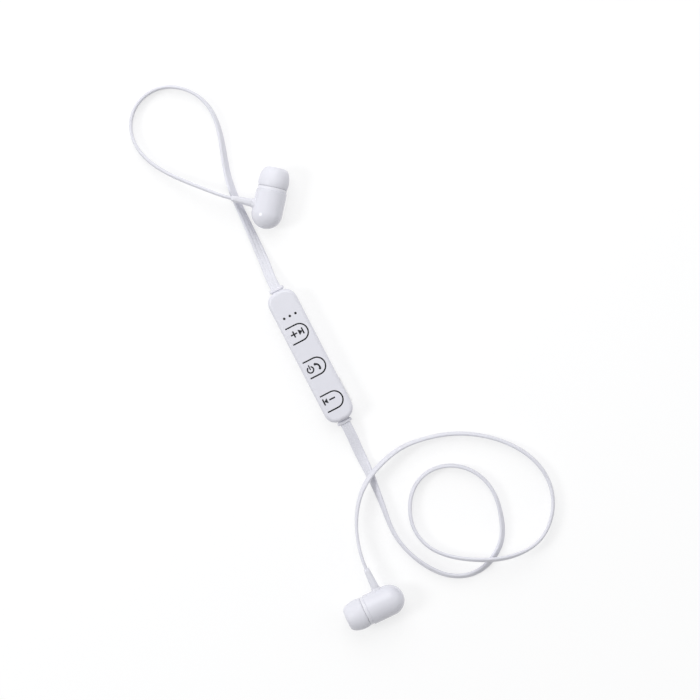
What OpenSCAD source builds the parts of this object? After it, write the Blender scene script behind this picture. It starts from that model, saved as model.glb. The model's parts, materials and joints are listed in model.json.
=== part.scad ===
// In-ear earphones: two earbuds joined by flat leads to a slim control pod.
// Millimetres, +Z up. The origin is the middle of the pod's underside, with +Y along the pod.

/* [Control pod] */
// Length of the pod's housing, without its cable collars
pod_l = 55; // [54:0.5:70]
// Width of the housing
pod_w = 11.5; // [11.2:0.1:15]
// Height of the housing
pod_h = 7.8; // [7.7:0.1:10]
// Radius of the housing's corners, seen from above
pod_corner_r = 4.5; // [3:0.1:5]
// Radius of the housing's top edge
top_edge_r = 1.5; // [1.1:0.1:1.6]
// Radius of the housing's bottom edge
bottom_edge_r = 2; // [1.2:0.1:2]
// Wall thickness of both covers
pod_wall = 1; // [0.8:0.05:1.1]
// Height of the seam between the covers
seam_z = 4.5; // [4.45:0.05:4.7]

/* [Buttons] */
// Distance between neighbouring buttons
button_pitch = 14.4; // [10:0.1:15]
// Place of the middle button along the pod
button_middle_y = -4.6; // [-6:0.1:4]
// Radius of a button's round end
button_r = 3.05; // [2.4:0.05:3.2]
// Width of the slot around a button
slot_w = 0.45; // [0.3:0.05:0.6]
// Distance from the housing's side to the slot's round end
button_margin = 1.8; // [1.5:0.05:2.5]
// Distance from the housing's side to the line that a button bends about
hinge_margin = 1.8; // [1.6:0.1:3]
// Travel of a switch's plunger
switch_travel = 0.2; // [0.1:0.05:0.3]

/* [Charging port] */
// Width of the micro-USB receptacle
usb_w = 7.5; // [7:0.1:8]
// Height of the receptacle
usb_h = 2.5; // [2.4:0.1:2.8]
// Depth of the receptacle
usb_d = 5; // [4:0.1:6]
// Place of the receptacle along the pod
usb_y = -17.9; // [-19:0.1:-16]
// Height of the port cover
flap_h = 3.2; // [3:0.1:3.4]
// Thickness of the port cover's plate
flap_t = 0.95; // [0.8:0.05:1.2]
// How far the port cover stands out of the housing's side
flap_proud = 0.4; // [0.2:0.05:0.6]

/* [Electronics] */
// Length of the battery cell
battery_l = 30; // [20:1:32]
// Thickness of the battery cell
battery_t = 3; // [2:0.1:3]
// Thickness of the circuit board
board_t = 0.8; // [0.6:0.1:1]

/* [Cable] */
// Width of the flat cable
cable_w = 4; // [3:0.1:4.2]
// Thickness of the flat cable
cable_t = 1.2; // [0.8:0.1:1.4]
// Height of the cable's middle where it leaves the pod
cable_exit_z = 3.9; // [3.6:0.1:4.2]
// Length of each collar outside the housing
collar_l = 1.5; // [1:0.1:4]

/* [Earbuds] */
// Outer radius of an earbud's rear shell
bud_r = 5.9; // [5.6:0.1:8]
// Length of the rear shell, from its dome to its rim
bud_shell_l = 14.6; // [14:0.1:18]
// Wall thickness of the rear shell
bud_wall = 0.8; // [0.6:0.05:1]
// Outer radius of the nozzle
nozzle_r = 2.4; // [2:0.05:2.5]
// Length of the nozzle, from the cap's cone to its end
nozzle_l = 4.5; // [4:0.1:6]
// Outer radius of the ear tip
tip_r = 5.85; // [4.9:0.05:6.5]
// Length of the ear tip
tip_l = 7.6; // [7:0.1:9]
// Wall thickness of the ear tip
tip_wall = 0.5; // [0.4:0.05:0.6]
// Radius of the driver's yoke
yoke_r = 3.6; // [3.4:0.05:3.8]
// Distance along the bud from its dome to its strain relief
relief_at = 8.7; // [8:0.1:9.5]
// Length of the strain relief outside the shell
relief_l = 8.5; // [6:0.1:10]

/* [Layout] */
// Middle of the right bud's strain relief, from the upper collar's end
right_bud_at = [11.9, 28.9]; // [-60:0.1:60]
// Direction that the right bud's tip points in
right_heading = 50.5; // [0:0.5:360]
// Upward slope of the right bud's strain relief
right_lift = 4.5; // [0:0.5:10]
// Middle of the left bud's strain relief, from the lower collar's end
left_bud_at = [-18.9, -67.5]; // [-90:0.1:60]
// Direction that the left bud's tip points in
left_heading = 178; // [0:0.5:360]
// Upward slope of the left bud's strain relief
left_lift = 0; // [0:0.5:10]

/* [Hidden] */

fine = 64;         // facets of a large circle
small = 32;        // facets of a small circle
cut = 1;           // how far a cutting shape reaches past what it cuts
running = 0.05;    // clearance around a piece that moves in another

// Pod: places across its height and its width
pod_side = pod_w / 2;
pod_end = pod_l / 2;
ceiling_z = pod_h - pod_wall;
inner_side = pod_side - pod_wall;
inner_end = pod_end - pod_wall;
collar_end = pod_end + collar_l;
lip_t = 0.4;
lip_h = 0.6;
foam_t = 0.15;
battery_z = pod_wall + foam_t;
battery_side = inner_side - 0.25;
battery_end_y = 20;
board_gap = 0.15;
board_z = battery_z + battery_t + board_gap;
board_top = board_z + board_t;
board_side = inner_side - 0.35;
board_end = inner_end - 1.3;
post_r = 0.7;

// Buttons
BUTTON_Y = [for (i = [1, 0, -1]) button_middle_y + i * button_pitch];
button_x = pod_side - button_margin - slot_w - button_r;
hinge_x = -(pod_side - hinge_margin);
hinge_gap = 0.06;
switch_h = 0.6;
plunger_h = 0.3;
plunger_r = 0.8;
well_floor = 0.1;
plunger_deep = switch_h - well_floor - switch_travel - running;
plunger_top = board_top + switch_h + plunger_h;
nub_gap = 0.05;
nub_r = 0.9;

// Sound and light holes in the top cover
HOLE_X = [-2.4, 0, 2.4];
hole_y = 17;
hole_r = 0.4;
led_size = [1.6, 0.8, 0.5];
microphone_size = [2.8, 2.2, 0.9];

// Charging port
port_z = board_z - usb_h / 2;
port_gap = 0.25;
flap_face_x = pod_side + flap_proud;
flap_inner_x = flap_face_x - flap_t;
flap_z = port_z - flap_h / 2 - 0.25;
flap_low_y = usb_y - usb_w / 2 - 0.85;
anchor_l = 1.1;
anchor_gap = 0.1;
flap_end_y = usb_y + usb_w / 2 + 0.75;
flap_high_y = flap_end_y + anchor_gap + anchor_l;
plug_in = 0.7;

// Cable: a flat section with round edges, drawn with eight corners
edge_r = cable_t / 2;
corner_r = edge_r / cos(22.5);
half_flat = cable_w / 2 - edge_r;
collar_w = cable_w + 2;
collar_t = 2.6;
collar_flange = 0.8;
neck_w = cable_w + 0.2;
neck_t = 2.4;

// Earbud: places along its axis, from the dome (0) to the ear tip
bud_inner_r = bud_r - bud_wall;
rim_l = 1.3;
rim_r = bud_r - 0.3;
cone_l = 1.1;
cap_wall = 0.8;
nozzle_z = bud_shell_l + rim_l + cone_l;
nozzle_end = nozzle_z + nozzle_l;
barb_r = nozzle_r + 0.15;
mesh_t = 0.2;
mesh_r = nozzle_r - 0.5;
spigot_l = 0.5;
spigot_r = bud_inner_r - 0.05;
tip_z = nozzle_end + 2.1 - tip_l;
skirt_r = tip_r - 0.35 - tip_wall;
yoke_z = 11.2;
yoke_h = 2;
yoke_wall = 0.6;
pole_r = yoke_r - 1;
pole_t = 0.4;
web_z = yoke_z + yoke_h - 0.8;
web_t = 0.8;
frame_top = bud_shell_l - spigot_l - 0.2;
diaphragm_t = 0.15;
diaphragm_play = 0.2; // to the ring over it, a little more than its stroke
diaphragm_z = frame_top - diaphragm_play - diaphragm_t;
coil_r = (pole_r + yoke_r - yoke_wall) / 2;
coil_t = 0.16;
coil_l = 1.2;
paper_t = 0.1;
relief_end = bud_r + relief_l;
relief_root = [5, 3.4];
relief_tip = [4.6, 2.1];

// Routes of the two cords, from the pod to the strain relief: x, y, the gap below the cable and its roll.
// They are measured from the collar's end, and a cable with a roll of 90 stands on its edge.
exit_lift = cable_exit_z - corner_r;
SHORT_ROUTE = [
    [0, 0, exit_lift, 0], [0, 4, 2.8, 0], [0.6, 10, 1.2, 8], [1, 16, 0.3, 20],
    [1.3, 22, 0, 34], [1.6, 29, 0, 46], [2, 37, 0, 52], [3, 45, 0, 58],
    [5.5, 54, 0, 64], [8, 62, 0, 72], [9.2, 69, 0, 78], [8.8, 75, 0, 82],
    [6.5, 80.5, 0, 85], [2, 85.5, 0, 86], [-4, 88.5, 0, 86], [-10.5, 88.6, 0, 86],
    [-16.5, 86, 0, 86], [-20.8, 81, 0, 86], [-22.5, 75, 0, 86], [-21.7, 68, 0.2, 86],
    [-18.8, 61.5, 0.9, 86], [-14.6, 55.3, 2.1, 86], [-9.6, 49.2, 3.7, 87], [-4.2, 43, 4.9, 89],
];
LONG_ROUTE = [
    [0, 0, exit_lift, 0], [0, -4, 2.8, 0], [-0.4, -12, 0.8, 10], [-0.6, -20, 0, 36],
    [-1.1, -28, 0, 60], [-2.1, -37, 0, 73], [-2.8, -46, 0, 79], [-1.2, -55, 0, 79],
    [3, -63.8, 0, 73], [9.6, -70.9, 0, 72], [18, -73.8, 0, 67], [26.3, -72, 0, 62],
    [32.8, -67, 0, 66], [36.8, -58.6, 0, 73], [38.3, -50, 0, 82], [36.2, -41, 0, 84],
    [30, -34, 0, 85], [21.5, -31.2, 0, 86], [13, -33.5, 0, 86], [7.2, -40, 0, 86],
    [4.8, -48.5, 0.2, 85], [6.8, -57, 1, 82], [13, -64.2, 2.4, 78], [20.5, -69.2, 3.8, 75],
    [28.5, -72.9, 4.1, 72], [37, -74.8, 3.1, 76], [45.5, -73.9, 1.9, 80], [53, -68.9, 0.8, 80],
    [58.2, -60, 0.1, 80], [58.6, -49, 0, 80], [54, -38.5, 0, 82], [45.5, -29.3, 0, 84],
    [35, -22.7, 0.2, 84], [25, -19.4, 1.1, 84], [14.5, -18.2, 2.3, 80], [5, -20, 3.4, 76],
    [-4.5, -24.6, 3.5, 78], [-11.6, -32.2, 3, 86], [-16.3, -42, 3, 90],
];

// The end of a bud's strain relief, as a route's last point.
function relief_reach(at, heading, lift) = [
    at[0] + relief_end * cos(lift) * cos(heading),
    at[1] + relief_end * cos(lift) * sin(heading),
    bud_r + relief_end * sin(lift) - half_flat - corner_r, 90
];
function relief_dir(heading, lift) = [cos(lift) * cos(heading), cos(lift) * sin(heading), sin(lift)];

SHORT_CORD = concat(SHORT_ROUTE, [relief_reach(right_bud_at, right_heading + 90, right_lift)]);
LONG_CORD = concat(LONG_ROUTE, [relief_reach(left_bud_at, left_heading - 90, left_lift)]);

// ---- Shared shapes ----

// Half of a housing's section: a wall edge at reach, rounded below and above.
module edge_profile(reach, z0, z1, low_r, high_r) {
    translate([0, z0 + low_r]) square([reach, z1 - z0 - low_r - high_r]);
    if (low_r > 0) {
        translate([0, z0]) square([reach - low_r, low_r]);
        intersection() {
            translate([reach - low_r, z0 + low_r]) circle(low_r, $fn = fine);
            translate([reach - low_r, z0]) square(low_r);
        }
    }
    if (high_r > 0) {
        translate([0, z1 - high_r]) square([reach - high_r, high_r]);
        intersection() {
            translate([reach - high_r, z1 - high_r]) circle(high_r, $fn = fine);
            translate([reach - high_r, z1 - high_r]) square(high_r);
        }
    }
}

// A block with round corners in plan, its lower and upper edges rounded all the way round.
module rounded_block(w, l, z0, z1, plan_r, low_r = 0, high_r = 0) {
    flat_x = w / 2 - plan_r;
    flat_y = l / 2 - plan_r;
    for (turn = [0, 180]) rotate([0, 0, turn]) {
        translate([0, flat_y, 0]) rotate([90, 0, 0])
            linear_extrude(2 * flat_y) edge_profile(w / 2, z0, z1, low_r, high_r);
        translate([-flat_x, flat_y, 0]) rotate([90, 0, 90])
            linear_extrude(2 * flat_x) edge_profile(plan_r, z0, z1, low_r, high_r);
        for (corner = [0, 90])
            translate([corner == 0 ? flat_x : -flat_x, flat_y, 0]) rotate([0, 0, corner])
                rotate_extrude(angle = 90, $fn = fine) edge_profile(plan_r, z0, z1, low_r, high_r);
    }
}

// A block between two corners.
module block(low, high) {
    translate(low) cube(high - low);
}

// A block that stands on the height z, centred in plan on [x, y].
module chip(x, y, z, size) {
    translate([x - size[0] / 2, y - size[1] / 2, z]) cube(size);
}

module ring(outer_r, inner_r, z, h) {
    translate([0, 0, z]) difference() {
        cylinder(h = h, r = outer_r, $fn = fine);
        translate([0, 0, -cut]) cylinder(h = h + 2 * cut, r = inner_r, $fn = fine);
    }
}

// ---- Pod ----

// Outline of a button, grown by a margin; its straight end lies on the hinge line.
module button_outline(grow = 0, behind = 0) {
    half = button_r + grow;
    translate([hinge_x - behind, -half]) square([button_x - hinge_x + behind, 2 * half]);
    translate([button_x, 0]) circle(half, $fn = fine);
}

// The opening for the neck of each collar, through both covers.
module collar_slots() {
    for (turn = [0, 180]) rotate([0, 0, turn])
        block([-neck_w / 2, inner_end - cut, cable_exit_z - neck_t / 2],
              [neck_w / 2, pod_end + cut, cable_exit_z + neck_t / 2]);
}

module pod_top_cover() {
    color("white") difference() {
        rounded_block(pod_w, pod_l, seam_z, pod_h, pod_corner_r, 0, top_edge_r);
        rounded_block(2 * inner_side, 2 * inner_end, seam_z - cut, ceiling_z,
                      pod_corner_r - pod_wall, 0, top_edge_r - pod_wall);
        rounded_block(2 * (inner_side + lip_t + running), 2 * (inner_end + lip_t + running),
                      seam_z - cut, seam_z + lip_h + running, pod_corner_r - pod_wall + lip_t);
        for (y = BUTTON_Y) translate([0, y, ceiling_z - cut])
            linear_extrude(pod_wall + 2 * cut) button_outline(slot_w, hinge_gap);
        for (x = HOLE_X) translate([x, hole_y, ceiling_z - cut])
            cylinder(h = pod_wall + 2 * cut, r = hole_r, $fn = small);
        collar_slots();
    }
}

module pod_bottom_cover() {
    post_y = board_end - 1.2;
    color("white") {
        difference() {
            union() {
                rounded_block(pod_w, pod_l, 0, seam_z, pod_corner_r, bottom_edge_r);
                rounded_block(2 * (inner_side + lip_t), 2 * (inner_end + lip_t), seam_z - cut,
                              seam_z + lip_h, pod_corner_r - pod_wall + lip_t);
            }
            rounded_block(2 * inner_side, 2 * inner_end, pod_wall, seam_z + lip_h + cut,
                          pod_corner_r - pod_wall, bottom_edge_r - pod_wall);
            collar_slots();
            block([inner_side - cut, usb_y - usb_w / 2 - port_gap, port_z - usb_h / 2 - port_gap],
                  [pod_side + cut, usb_y + usb_w / 2 + port_gap, port_z + usb_h / 2 + running]);
            block([flap_inner_x - running, flap_low_y - running, flap_z - running],
                  [pod_side + cut, flap_high_y + running, seam_z + cut]);
        }
        for (x = [-1, 1], y = [-1, 1])
            translate([x * (board_side - 1.2), y * post_y, pod_wall - 0.2])
                cylinder(h = board_z - pod_wall + 0.2, r = post_r, $fn = small);
    }
}

module button(y) {
    color("white") translate([0, y, 0]) {
        translate([0, 0, ceiling_z]) linear_extrude(pod_wall) button_outline();
        translate([button_x, 0, plunger_top + nub_gap])
            cylinder(h = ceiling_z - plunger_top - nub_gap, r = nub_r, $fn = small);
    }
}

module switch_body(y) {
    well_r = plunger_r + running;
    color("silver") difference() {
        chip(button_x, y, board_top, [4, 3, switch_h]);
        translate([button_x, y, board_top + well_floor]) cylinder(h = switch_h, r = well_r, $fn = small);
    }
}

module switch_plunger(y) {
    color("dimgray") translate([button_x, y, board_top + switch_h - plunger_deep])
        cylinder(h = plunger_h + plunger_deep, r = plunger_r, $fn = small);
}

module circuit_board() {
    corner = 2.5;
    color("seagreen") rounded_block(2 * board_side, 2 * board_end, board_z, board_top, corner);
}

module bluetooth_chip() {
    color("black") chip(0, button_middle_y + button_pitch / 2, board_top, [5, 5, 0.8]);
}

module charging_chip() {
    color("black") chip(-1, button_middle_y - button_pitch / 2, board_top, [3, 3, 0.7]);
}

module crystal() {
    color("silver") chip(2.6, button_middle_y - button_pitch / 2, board_top, [1.6, 2, 0.5]);
}

module chip_antenna() {
    color("ivory") chip(0, board_end - 2, board_top, [6, 2, 0.9]);
}

module status_led() {
    color("ivory") for (x = [HOLE_X[0], HOLE_X[1]]) chip(x, hole_y, board_top, led_size);
}

module microphone() {
    color("gold") chip(HOLE_X[2], hole_y, board_top, microphone_size);
}

module microphone_gasket() {
    floor_z = board_top + microphone_size[2];
    color("black") translate([HOLE_X[2], hole_y, 0]) ring(1, hole_r + 0.1, floor_z, ceiling_z - floor_z);
}

module usb_shell() {
    sheet = 0.3;
    low = [inner_side - usb_d, usb_y - usb_w / 2, board_z - usb_h];
    high = [inner_side, usb_y + usb_w / 2, board_z];
    color("silver") difference() {
        block(low, high);
        block(low + [sheet, sheet, sheet], high + [cut, -sheet, -sheet]);
    }
}

module usb_tongue() {
    sheet = 0.3;
    color("black") block([inner_side - usb_d + sheet, usb_y - 1.8, port_z - 0.1],
                         [inner_side - 0.6, usb_y + 1.8, port_z + 0.6]);
}

// Cover of the charging port: a plate in a recess of the housing, with a short plug behind it.
module port_cover() {
    color("white") {
        block([flap_inner_x, flap_low_y, flap_z], [flap_face_x, flap_end_y, flap_z + flap_h]);
        block([flap_inner_x - plug_in, usb_y - usb_w / 2 + 0.6, port_z - usb_h / 2 + 0.5],
              [flap_inner_x, usb_y + usb_w / 2 - 1.4, port_z + usb_h / 2 - 0.5]);
    }
}

module port_cover_anchor() {
    color("white") block([flap_inner_x - running, flap_high_y - anchor_l, flap_z],
                         [flap_face_x, flap_high_y, flap_z + flap_h]);
}

module battery_cell() {
    corner = 1.2;
    half = battery_side - corner;
    color("lightsteelblue") translate([0, battery_end_y, battery_z]) rotate([90, 0, 0])
        linear_extrude(battery_l) {
            translate([-half, 0]) square([2 * half, battery_t]);
            for (side = [0, 180]) translate([0, battery_t / 2]) rotate(side)
                translate([half, 0]) {
                    translate([0, corner - battery_t / 2])
                        square([corner, battery_t - 2 * corner]);
                    for (up = [1, -1]) intersection() {
                        translate([0, up * (battery_t / 2 - corner)]) circle(corner, $fn = small);
                        translate([0, up > 0 ? battery_t / 2 - corner : -battery_t / 2])
                            square(corner);
                    }
                }
        }
}

module battery_protection_board() {
    color("darkgreen") block([-battery_side + 1.2, battery_end_y, battery_z + 0.6],
                             [battery_side - 1.2, battery_end_y + 0.8, battery_z + battery_t - 0.6]);
}

module battery_tabs() {
    tab_w = 1.4;
    color("silver") for (x = [-2.2, 0.8])
        block([x, battery_end_y + 0.8, battery_z + battery_t - 1.6],
              [x + tab_w, battery_end_y + 1, board_z]);
}

module foam_tape() {
    color("dimgray") block([-battery_side + 1.4, battery_end_y - battery_l + 1, pod_wall],
                           [battery_side - 1.4, battery_end_y - 1, battery_z]);
}

// Rubber collar of the upper end: outer collar, neck through the wall and inner flange.
module collar() {
    half_w = collar_w / 2;
    low_z = cable_exit_z - collar_t / 2;
    high_z = cable_exit_z + collar_t / 2;
    color("white") {
        difference() {
            block([-half_w, pod_end - cut, low_z], [half_w, collar_end, high_z]);
            rounded_block(pod_w, pod_l, 0, pod_h, pod_corner_r, bottom_edge_r, top_edge_r);
        }
        intersection() {
            block([-half_w, inner_end - collar_flange, low_z], [half_w, pod_end, high_z]);
            rounded_block(2 * inner_side, 2 * inner_end, pod_wall, ceiling_z,
                          pod_corner_r - pod_wall, bottom_edge_r - pod_wall, top_edge_r - pod_wall);
        }
        block([-neck_w / 2, inner_end - collar_flange, cable_exit_z - neck_t / 2],
              [neck_w / 2, collar_end - 0.3, cable_exit_z + neck_t / 2]);
    }
}

// ---- Cords ----

function unit(v) = v / norm(v);
function centre(p) = [p[0], p[1], p[2] + half_flat * sin(p[3]) + corner_r];
function tangent(route, i, first, last) =
    i == 0 ? first : i == len(route) - 1 ? last : unit(centre(route[i + 1]) - centre(route[i - 1]));

// The eight corners of the cable's section at a point of its route.
function section(p, along) =
    let (left = unit(cross([0, 0, 1], along)), up = cross(along, left),
         wide = left * cos(p[3]) + up * sin(p[3]), thick = up * cos(p[3]) - left * sin(p[3]))
    [for (side = [1, -1], a = [67.5, 22.5, -22.5, -67.5])
        centre(p) + side * (wide * (half_flat + corner_r * cos(a)) + thick * corner_r * sin(a))];

module cord(route, first, last) {
    corners = 8;
    rings = len(route);
    points = [for (i = [0 : rings - 1]) each section(route[i], tangent(route, i, first, last))];
    walls = [for (i = [0 : rings - 2], j = [0 : corners - 1])
        let (a = i * corners + j, b = i * corners + (j + 1) % corners)
        each [[a, b, b + corners], [a, b + corners, a + corners]]];
    caps = [[for (j = [corners - 1 : -1 : 0]) j],
            [for (j = [0 : corners - 1]) (rings - 1) * corners + j]];
    color("white") polyhedron(points = points, faces = concat(walls, caps), convexity = 6);
}

// ---- Earbuds, drawn along +Z with the strain relief towards +X ----

// A cylinder with a domed end, from the height z0 to z1.
module capsule(r, z0, z1) {
    rotate_extrude($fn = fine) {
        translate([0, z0 + r]) square([r, z1 - z0 - r]);
        intersection() {
            translate([0, z0 + r]) circle(r, $fn = fine);
            translate([0, z0]) square(r);
        }
    }
}

module rear_shell() {
    slot = [relief_root[0] - 0.8, relief_root[1] - 1];
    color("white") difference() {
        capsule(bud_r, 0, bud_shell_l);
        capsule(bud_inner_r, bud_wall, bud_shell_l + cut);
        translate([0, -slot[0] / 2, relief_at - slot[1] / 2]) cube([bud_r + cut, slot[0], slot[1]]);
    }
}

module front_cap() {
    inner_r = spigot_r - cap_wall;
    cone_r = nozzle_r + 0.6;
    bore_r = nozzle_r - cap_wall;
    outer = [
        [spigot_r, bud_shell_l - spigot_l], [spigot_r, bud_shell_l], [rim_r, bud_shell_l],
        [rim_r, bud_shell_l + rim_l - 0.3], [rim_r - 0.3, bud_shell_l + rim_l],
        [skirt_r - 0.2, bud_shell_l + rim_l], [cone_r, nozzle_z], [nozzle_r, nozzle_z],
        [nozzle_r, nozzle_end - 1.1], [barb_r, nozzle_end - 0.9], [barb_r, nozzle_end - 0.5],
        [nozzle_r, nozzle_end],
    ];
    inner = [
        [mesh_r, nozzle_end], [mesh_r, nozzle_end - mesh_t], [bore_r, nozzle_end - mesh_t],
        [bore_r, nozzle_z - 0.4], [inner_r, bud_shell_l + 0.4], [inner_r, bud_shell_l - spigot_l],
    ];
    color("white") rotate_extrude($fn = fine) polygon(concat(outer, inner));
}

// Silicone tip: a sleeve over the nozzle, rolled back at the front into a domed skirt.
module ear_tip() {
    bore_r = barb_r + running;
    front_r = 3.3;
    top = tip_z + tip_l;
    widest = tip_z + 2;
    steps = 8;
    dome = [for (i = [0 : steps]) let (a = 90 * i / steps)
        [front_r + (tip_r - front_r) * sin(a), widest + (top - widest) * cos(a)]];
    inside = [for (i = [steps : -1 : 0]) let (a = 90 * i / steps)
        [front_r + (tip_r - tip_wall - front_r) * sin(a),
         widest + (top - 2 * tip_wall - widest) * cos(a)]];
    color("white") rotate_extrude($fn = fine) polygon(concat(
        [[bore_r, top]], dome, [[skirt_r + tip_wall, tip_z], [skirt_r, tip_z]], inside,
        [[bore_r + tip_wall, top - 1.6], [bore_r + tip_wall, nozzle_z + 0.4],
         [bore_r, nozzle_z + 0.4]]
    ));
}

module nozzle_mesh() {
    color("gray") translate([0, 0, nozzle_end - mesh_t])
        cylinder(h = mesh_t, r = mesh_r, $fn = fine);
}

// Tapered boot outside the shell, a neck through the wall and a flange inside it.
module strain_relief() {
    neck = [relief_root[0] - 0.8, relief_root[1] - 1];
    color("white") translate([0, 0, relief_at]) {
        difference() {
            intersection() {
                rotate([90, 0, 0]) linear_extrude(relief_root[0], center = true)
                    taper(relief_root[1], relief_tip[1]);
                linear_extrude(relief_root[1], center = true) taper(relief_root[0], relief_tip[0]);
            }
            cylinder(h = 4 * relief_root[1], r = bud_r, center = true, $fn = fine);
        }
        intersection() {
            translate([bud_inner_r - 1, -neck[0] / 2, -neck[1] / 2])
                cube([bud_wall + 2, neck[0], neck[1]]);
            ring(bud_r, bud_inner_r, -relief_root[1], 2 * relief_root[1]);
        }
        intersection() {
            translate([bud_inner_r - 1, -relief_root[0] / 2, -relief_root[1] / 2])
                cube([2, relief_root[0], relief_root[1]]);
            cylinder(h = 4 * relief_root[1], r = bud_inner_r, center = true, $fn = fine);
        }
    }
}

// Side view of the boot, from the bud's axis to its end.
module taper(root, end) {
    start = bud_r - 1;
    polygon([[start, -root / 2], [bud_r, -root / 2], [relief_end, -end / 2],
             [relief_end, end / 2], [bud_r, root / 2], [start, root / 2]]);
}

module driver_yoke() {
    color("silver") difference() {
        translate([0, 0, yoke_z]) cylinder(h = yoke_h, r = yoke_r, $fn = fine);
        translate([0, 0, yoke_z + yoke_wall])
            cylinder(h = yoke_h, r = yoke_r - yoke_wall, $fn = fine);
    }
}

module magnet() {
    h = yoke_h - yoke_wall - pole_t;
    color("dimgray") translate([0, 0, yoke_z + yoke_wall])
        cylinder(h = h, r = pole_r - 0.1, $fn = fine);
}

module pole_plate() {
    color("silver") translate([0, 0, yoke_z + yoke_h - pole_t])
        cylinder(h = pole_t, r = pole_r, $fn = fine);
}

module driver_frame() {
    seat_r = spigot_r - 0.4;
    color("dimgray") rotate_extrude($fn = fine) polygon([
        [yoke_r, web_z], [spigot_r, web_z], [spigot_r, frame_top], [seat_r, frame_top],
        [seat_r, web_z + web_t], [yoke_r, web_z + web_t],
    ]);
}

// Diaphragm with its voice coil, which hangs in the gap between the pole plate and the yoke.
module diaphragm() {
    color("lightgray") {
        translate([0, 0, diaphragm_z]) cylinder(h = diaphragm_t, r = spigot_r - 0.5, $fn = fine);
        ring(coil_r + coil_t / 2, coil_r - coil_t / 2, diaphragm_z - coil_l, coil_l);
    }
}

module front_ring() {
    color("black") ring(spigot_r, yoke_r, frame_top, 0.2);
}

module damping_paper() {
    color("black") ring(spigot_r - 0.1, yoke_r + 0.1, web_z - paper_t, paper_t);
}

// Lays a bud on its side: its tip points along the heading, its strain relief to one side of it.
module lay_bud(exit, at, heading, side, lift) {
    translate([at[0], exit + at[1], bud_r]) rotate([0, 0, heading])
        translate([-relief_at, 0, 0]) rotate([0, 90, 0]) rotate([0, 0, side * (90 + lift)]) children();
}

module right() {
    lay_bud(collar_end, right_bud_at, right_heading, 1, right_lift) children();
}

module left() {
    lay_bud(-collar_end, left_bud_at, left_heading, -1, left_lift) children();
}

pod_top_cover();
pod_bottom_cover();
button(BUTTON_Y[0]);  // volume_up_button
button(BUTTON_Y[1]);  // call_button
button(BUTTON_Y[2]);  // volume_down_button
switch_body(BUTTON_Y[0]);  // volume_up_switch
switch_body(BUTTON_Y[1]);  // call_switch
switch_body(BUTTON_Y[2]);  // volume_down_switch
switch_plunger(BUTTON_Y[0]);  // volume_up_plunger
switch_plunger(BUTTON_Y[1]);  // call_plunger
switch_plunger(BUTTON_Y[2]);  // volume_down_plunger
circuit_board();
bluetooth_chip();
charging_chip();
crystal();
chip_antenna();
status_led();
microphone();
microphone_gasket();
usb_shell();
usb_tongue();
port_cover();
port_cover_anchor();
battery_cell();
battery_protection_board();
battery_tabs();
foam_tape();
collar();  // upper_collar
rotate([0, 0, 180]) collar();  // lower_collar
translate([0, collar_end, 0]) cord(SHORT_CORD, [0, 1, 0], -relief_dir(right_heading + 90, right_lift));  // short_cord
translate([0, -collar_end, 0]) cord(LONG_CORD, [0, -1, 0], -relief_dir(left_heading - 90, left_lift));  // long_cord
right() rear_shell();  // right_rear_shell
right() front_cap();  // right_front_cap
right() ear_tip();  // right_ear_tip
right() nozzle_mesh();  // right_nozzle_mesh
right() strain_relief();  // right_strain_relief
right() driver_yoke();  // right_driver_yoke
right() magnet();  // right_magnet
right() pole_plate();  // right_pole_plate
right() driver_frame();  // right_driver_frame
right() diaphragm();  // right_diaphragm
right() front_ring();  // right_front_ring
right() damping_paper();  // right_damping_paper
left() rear_shell();  // left_rear_shell
left() front_cap();  // left_front_cap
left() ear_tip();  // left_ear_tip
left() nozzle_mesh();  // left_nozzle_mesh
left() strain_relief();  // left_strain_relief
left() driver_yoke();  // left_driver_yoke
left() magnet();  // left_magnet
left() pole_plate();  // left_pole_plate
left() driver_frame();  // left_driver_frame
left() diaphragm();  // left_diaphragm
left() front_ring();  // left_front_ring
left() damping_paper();  // left_damping_paper
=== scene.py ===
import json
import math

import bmesh
import bpy
import numpy as np
from mathutils import Matrix, Vector


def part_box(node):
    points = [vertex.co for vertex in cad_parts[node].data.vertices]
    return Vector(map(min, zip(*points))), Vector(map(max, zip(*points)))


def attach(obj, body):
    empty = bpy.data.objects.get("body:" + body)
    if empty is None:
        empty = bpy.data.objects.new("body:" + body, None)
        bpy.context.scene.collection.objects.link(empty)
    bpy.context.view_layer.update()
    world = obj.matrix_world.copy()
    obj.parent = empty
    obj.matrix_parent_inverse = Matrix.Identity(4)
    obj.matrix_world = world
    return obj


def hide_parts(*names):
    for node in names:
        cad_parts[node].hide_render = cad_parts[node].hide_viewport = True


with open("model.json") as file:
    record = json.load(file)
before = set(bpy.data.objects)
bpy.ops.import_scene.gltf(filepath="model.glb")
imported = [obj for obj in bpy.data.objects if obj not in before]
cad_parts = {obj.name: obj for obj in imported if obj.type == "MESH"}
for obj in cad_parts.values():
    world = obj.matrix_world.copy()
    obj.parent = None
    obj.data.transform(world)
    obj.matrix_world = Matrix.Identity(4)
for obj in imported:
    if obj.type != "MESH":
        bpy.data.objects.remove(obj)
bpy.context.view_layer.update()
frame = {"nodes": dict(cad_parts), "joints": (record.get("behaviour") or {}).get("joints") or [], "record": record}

MM = 0.001
UP = Vector((0, 0, 1))
scene = bpy.context.scene


def link(name, data):
    """A new object with this data, in the scene."""
    made = bpy.data.objects.new(name, data)
    scene.collection.objects.link(made)
    return made


# ---- Camera ----

VIEW_CENTRE = Vector((14.4, -5.0, 0)) * MM   # the floor's point in the middle of the picture
VIEW_TURN = math.radians(-27.3)
VIEW_HEIGHT = 0.75
VIEW_WIDTH = 0.269                           # how much of the floor the picture is wide


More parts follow.
